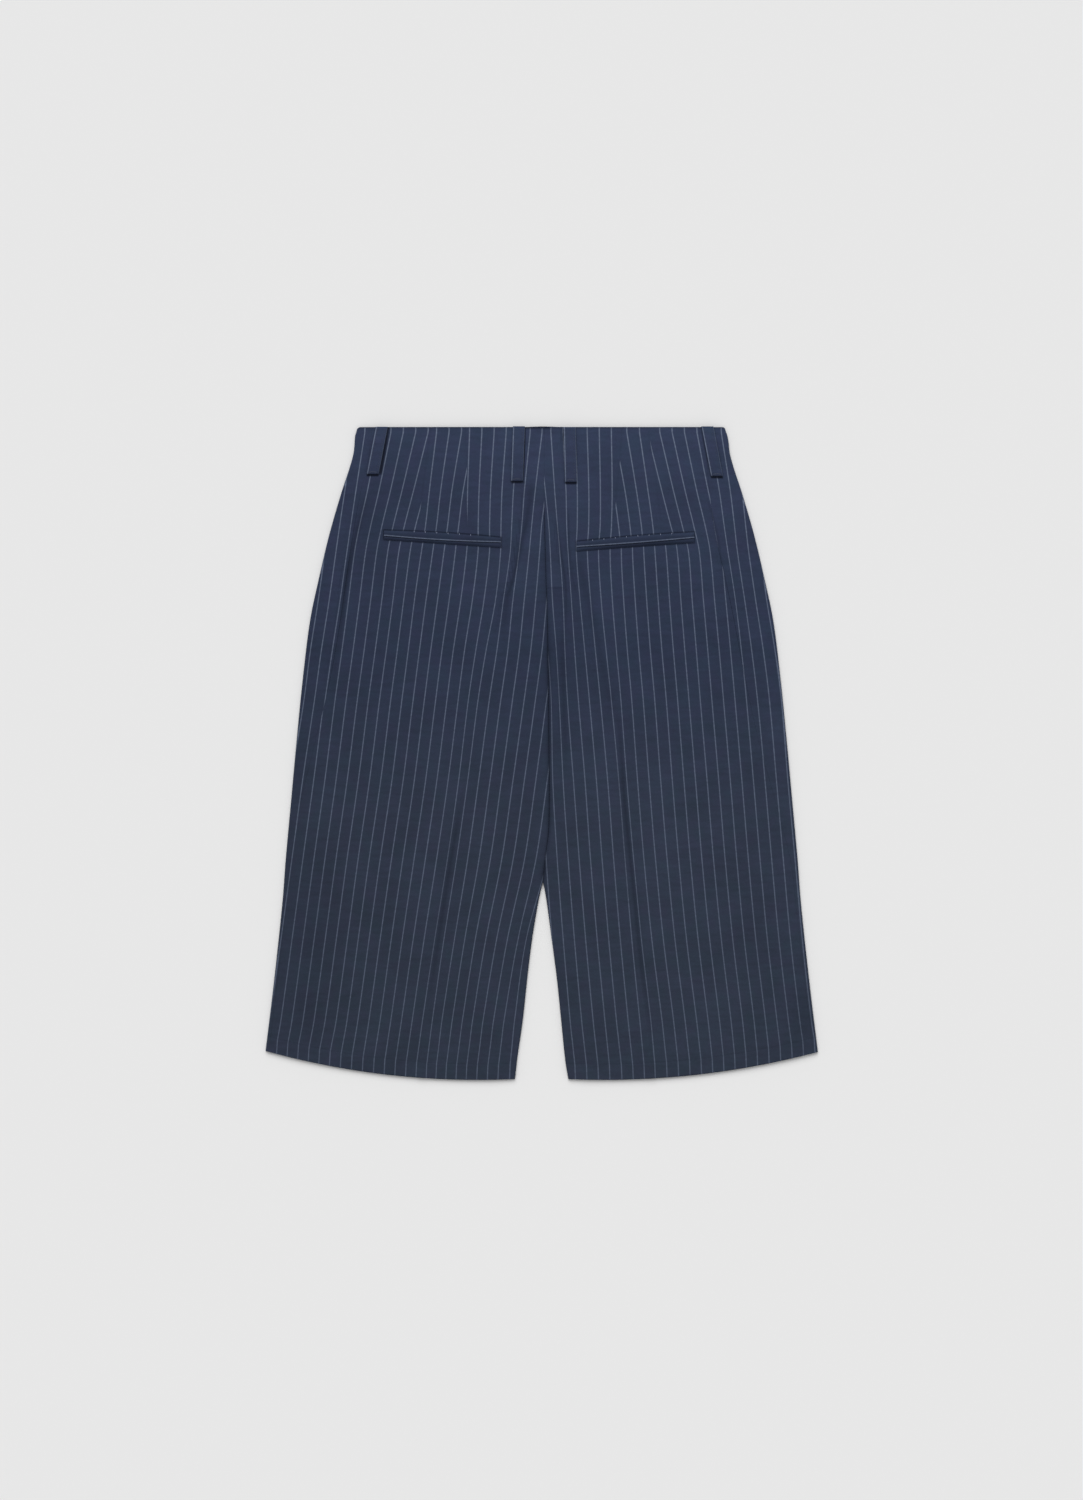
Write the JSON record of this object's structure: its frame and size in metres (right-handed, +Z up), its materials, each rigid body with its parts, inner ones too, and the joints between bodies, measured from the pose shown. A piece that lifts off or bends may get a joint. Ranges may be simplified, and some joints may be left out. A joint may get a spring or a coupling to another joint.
{
  "type": "bermuda shorts",
  "caption": "Tailored pinstripe bermuda shorts laid flat, back upwards, with belt loops, darts and welt back pockets.",
  "frame": {"origin": "on the surface the garment lies on, below the centre of its outline", "axes": "+Y towards the waist, +X to the wearer's right, +Z up, out of the back of the garment"},
  "size_m": [0.5508, 0.654, 0.0076],
  "materials": {
    "suiting": "fine twill suiting with a thin pale stripe, matt with a faint sheen",
    "facing": "plain matt cloth of the inner pieces",
    "thread": "polyester sewing thread, slightly shiny"
  },
  "bodies": {
    "root": {"front_left": "suiting", "front_right": "suiting", "back_left": "suiting", "back_right": "suiting", "belt_loop_front_left": "suiting", "belt_loop_front_right": "suiting", "belt_loop_back_left_outer": "suiting", "belt_loop_back_left_inner": "suiting", "belt_loop_back_right_inner": "suiting", "belt_loop_back_right_outer": "suiting", "pocket_left_upper_lip": "suiting", "pocket_left_lower_lip": "suiting", "pocket_right_upper_lip": "suiting", "pocket_right_lower_lip": "suiting", "fly_shield": "facing"}
  },
  "joints": []
}
